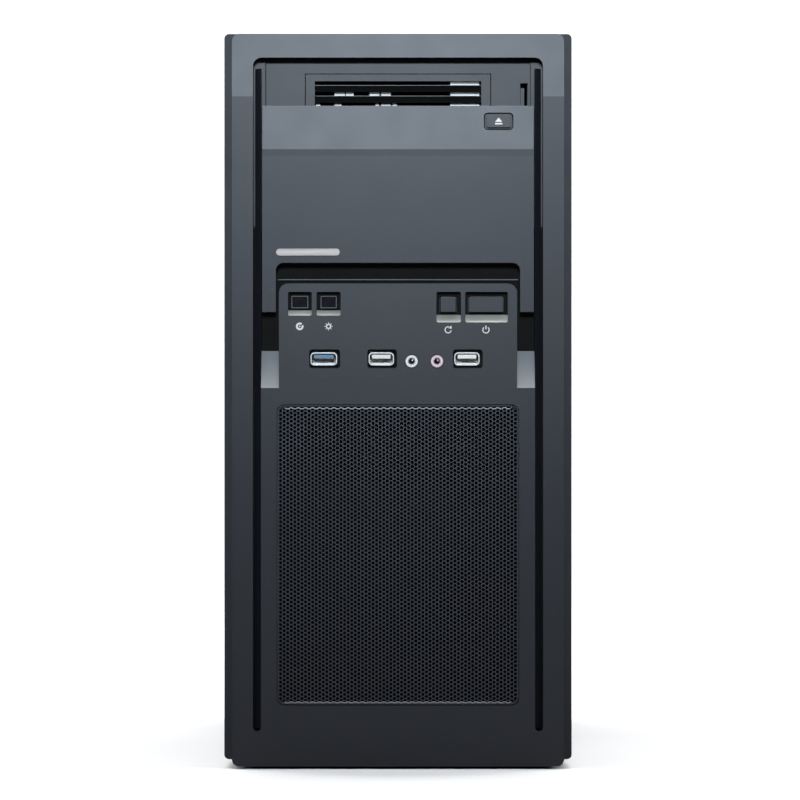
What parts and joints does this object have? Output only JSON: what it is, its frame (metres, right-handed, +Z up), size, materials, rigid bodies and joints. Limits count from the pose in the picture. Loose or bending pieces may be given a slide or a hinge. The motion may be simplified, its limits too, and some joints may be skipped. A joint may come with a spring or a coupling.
{
  "type": "desktop computer tower",
  "caption": "Upright desktop computer tower with a sliding front door, ported front block, mesh air intake, sliding side panels and fans that turn.",
  "frame": {"origin": "on the floor under the middle of the tower", "axes": "+Z up, the front faces -Y, +X to the right seen from the front"},
  "size_m": [0.1906, 0.432, 0.4028],
  "materials": {
    "bezel_plastic": "fine moulded grain, black with a slight blue tint",
    "dark_plastic": "satin black",
    "gloss_window": "smoked gloss",
    "badge_metal": "brushed",
    "mesh_steel": "black powder coat, perforated",
    "filter_foam": "open foam",
    "port_steel": "plated",
    "jack_green": "pale moulded collar",
    "jack_pink": "pink moulded collar",
    "circuit_board": "green solder mask",
    "chassis_steel": "black powder coat",
    "bare_steel": "zinc plated",
    "screw_steel": "black knurled",
    "foot_rubber": "matt",
    "fin_aluminium": "extruded",
    "drive_metal": "cast",
    "supply_steel": "black powder coat",
    "fan_plastic": "satin black",
    "cable_black": "black sleeving"
  },
  "bodies": {
    "chassis": {"bay_cover_lower": "bezel_plastic", "bay_cover_upper": "bezel_plastic", "chassis_base": "chassis_steel", "chassis_front": "chassis_steel", "chassis_rear": "chassis_steel", "chassis_top": "chassis_steel", "cpu_cooler": "fin_aluminium", "drive_cage": "chassis_steel", "drive_data_cable": "cable_black", "drive_led_window": "gloss_window", "drive_power_cable": "cable_black", "dust_filter": "filter_foam", "front_bezel": "bezel_plastic", "front_fan_frame": "fan_plastic", "front_io_board": "circuit_board", "front_mesh": "mesh_steel", "front_panel_cable": "cable_black", "hard_drive": "drive_metal", "headphone_jack": "jack_green", "io_shield": "bare_steel", "left_front_foot": "foot_rubber", "left_rear_foot": "foot_rubber", "louvre_insert": "bezel_plastic", "memory_module": "circuit_board", "microphone_jack": "jack_pink", "motherboard": "circuit_board", "motherboard_tray": "chassis_steel", "power_led_window": "gloss_window", "psu_case": "supply_steel", "psu_fan_frame": "fan_plastic", "psu_inlet": "dark_plastic", "rear_fan_frame": "fan_plastic", "right_front_foot": "foot_rubber", "right_rear_foot": "foot_rubber", "slot_cover_1": "bare_steel", "slot_cover_2": "bare_steel", "slot_cover_3": "bare_steel", "slot_cover_4": "bare_steel", "slot_cover_5": "bare_steel", "slot_cover_6": "bare_steel", "supply_cable": "cable_black", "usb2_port_left": "port_steel", "usb2_port_right": "port_steel", "usb3_port": "port_steel"},
    "sliding_door": {"sliding_door": "bezel_plastic", "door_badge": "badge_metal"},
    "eject_button": {"eject_button": "bezel_plastic"},
    "power_button": {"power_button": "bezel_plastic"},
    "reset_button": {"reset_button": "bezel_plastic"},
    "left_side_panel": {"left_side_panel": "chassis_steel", "left_lower_thumbscrew": "screw_steel", "left_upper_thumbscrew": "screw_steel"},
    "right_side_panel": {"right_side_panel": "chassis_steel", "right_lower_thumbscrew": "screw_steel", "right_upper_thumbscrew": "screw_steel"},
    "front_fan_rotor": {"front_fan_rotor": "fan_plastic"},
    "rear_fan_rotor": {"rear_fan_rotor": "fan_plastic"},
    "psu_fan_rotor": {"psu_fan_rotor": "fan_plastic"},
    "cpu_fan_rotor": {"cpu_fan_rotor": "fan_plastic"},
    "psu_switch_rocker": {"psu_switch_rocker": "dark_plastic"}
  },
  "joints": [
    {"name": "door_slide", "type": "slide", "parent": "chassis", "child": "sliding_door", "axis": [0, 0, 1], "range_m": [-0.0105, 0.0235]},
    {"name": "eject_button_press", "type": "slide", "parent": "sliding_door", "child": "eject_button", "axis": [0, 1, 0], "range_m": [0, 0.0015], "stiffness_N_per_m": 350},
    {"name": "power_button_press", "type": "slide", "parent": "chassis", "child": "power_button", "axis": [0, 1, 0], "range_m": [0, 0.0015], "stiffness_N_per_m": 350},
    {"name": "reset_button_press", "type": "slide", "parent": "chassis", "child": "reset_button", "axis": [0, 1, 0], "range_m": [0, 0.0015], "stiffness_N_per_m": 350},
    {"name": "left_panel_slide", "type": "slide", "parent": "chassis", "child": "left_side_panel", "axis": [0, 1, 0], "range_m": [0, 0.018]},
    {"name": "right_panel_slide", "type": "slide", "parent": "chassis", "child": "right_side_panel", "axis": [0, 1, 0], "range_m": [0, 0.018]},
    {"name": "front_fan_spin", "type": "hinge", "parent": "chassis", "child": "front_fan_rotor", "pos_m": [-0.004, -0.1579, 0.132], "axis": [0, 1, 0], "continuous": true},
    {"name": "rear_fan_spin", "type": "hinge", "parent": "chassis", "child": "rear_fan_rotor", "pos_m": [-0.03, 0.1916, 0.24], "axis": [0, 1, 0], "continuous": true},
    {"name": "psu_fan_spin", "type": "hinge", "parent": "chassis", "child": "psu_fan_rotor", "pos_m": [0, 0.1356, 0.3261], "axis": [0, 0, 1], "continuous": true},
    {"name": "cpu_fan_spin", "type": "hinge", "parent": "chassis", "child": "cpu_fan_rotor", "pos_m": [0.0262, 0.134, 0.24], "axis": [1, 0, 0], "continuous": true},
    {"name": "psu_switch_rock", "type": "hinge", "parent": "chassis", "child": "psu_switch_rocker", "pos_m": [0.044, 0.1968, 0.3793], "axis": [1, 0, 0], "range_deg": [-8, 8]}
  ]
}
